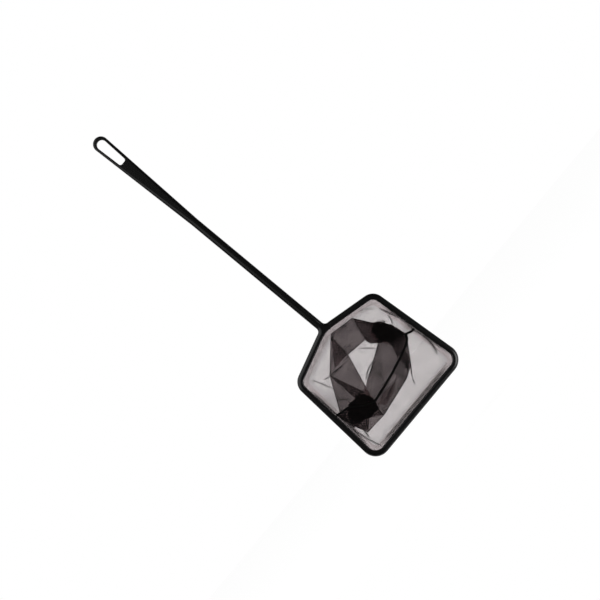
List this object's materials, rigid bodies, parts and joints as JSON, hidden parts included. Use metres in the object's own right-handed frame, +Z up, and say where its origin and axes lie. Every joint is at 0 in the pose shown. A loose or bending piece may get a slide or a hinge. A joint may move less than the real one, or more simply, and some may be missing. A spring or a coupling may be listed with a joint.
{
  "type": "aquarium fish net",
  "caption": "Small hand net for an aquarium: a slim black handle with a hang slot, a gabled square hoop, and a fine mesh bag folded flat in the mouth.",
  "frame": {"origin": "centre of the hang slot's round upper end, midway through the handle's depth", "axes": "+Z up along the handle away from the hoop, +X across the hoop, -Y out of the open mouth"},
  "size_m": [0.1024, 0.0084, 0.3182],
  "materials": {
    "frame_plastic": "semi-matt black moulded polypropylene",
    "ring_plastic": "matt black moulded polypropylene",
    "net_mesh": "fine black nylon mesh, see-through",
    "black_thread": "black polyester sewing thread"
  },
  "bodies": {
    "root": {"net_frame": "frame_plastic", "clamp_ring": "ring_plastic", "mouth_hem": "net_mesh", "hem_stitching": "black_thread", "bag_seam": "black_thread", "rear_net_panel": "net_mesh", "front_net_panel": "net_mesh"}
  },
  "joints": []
}
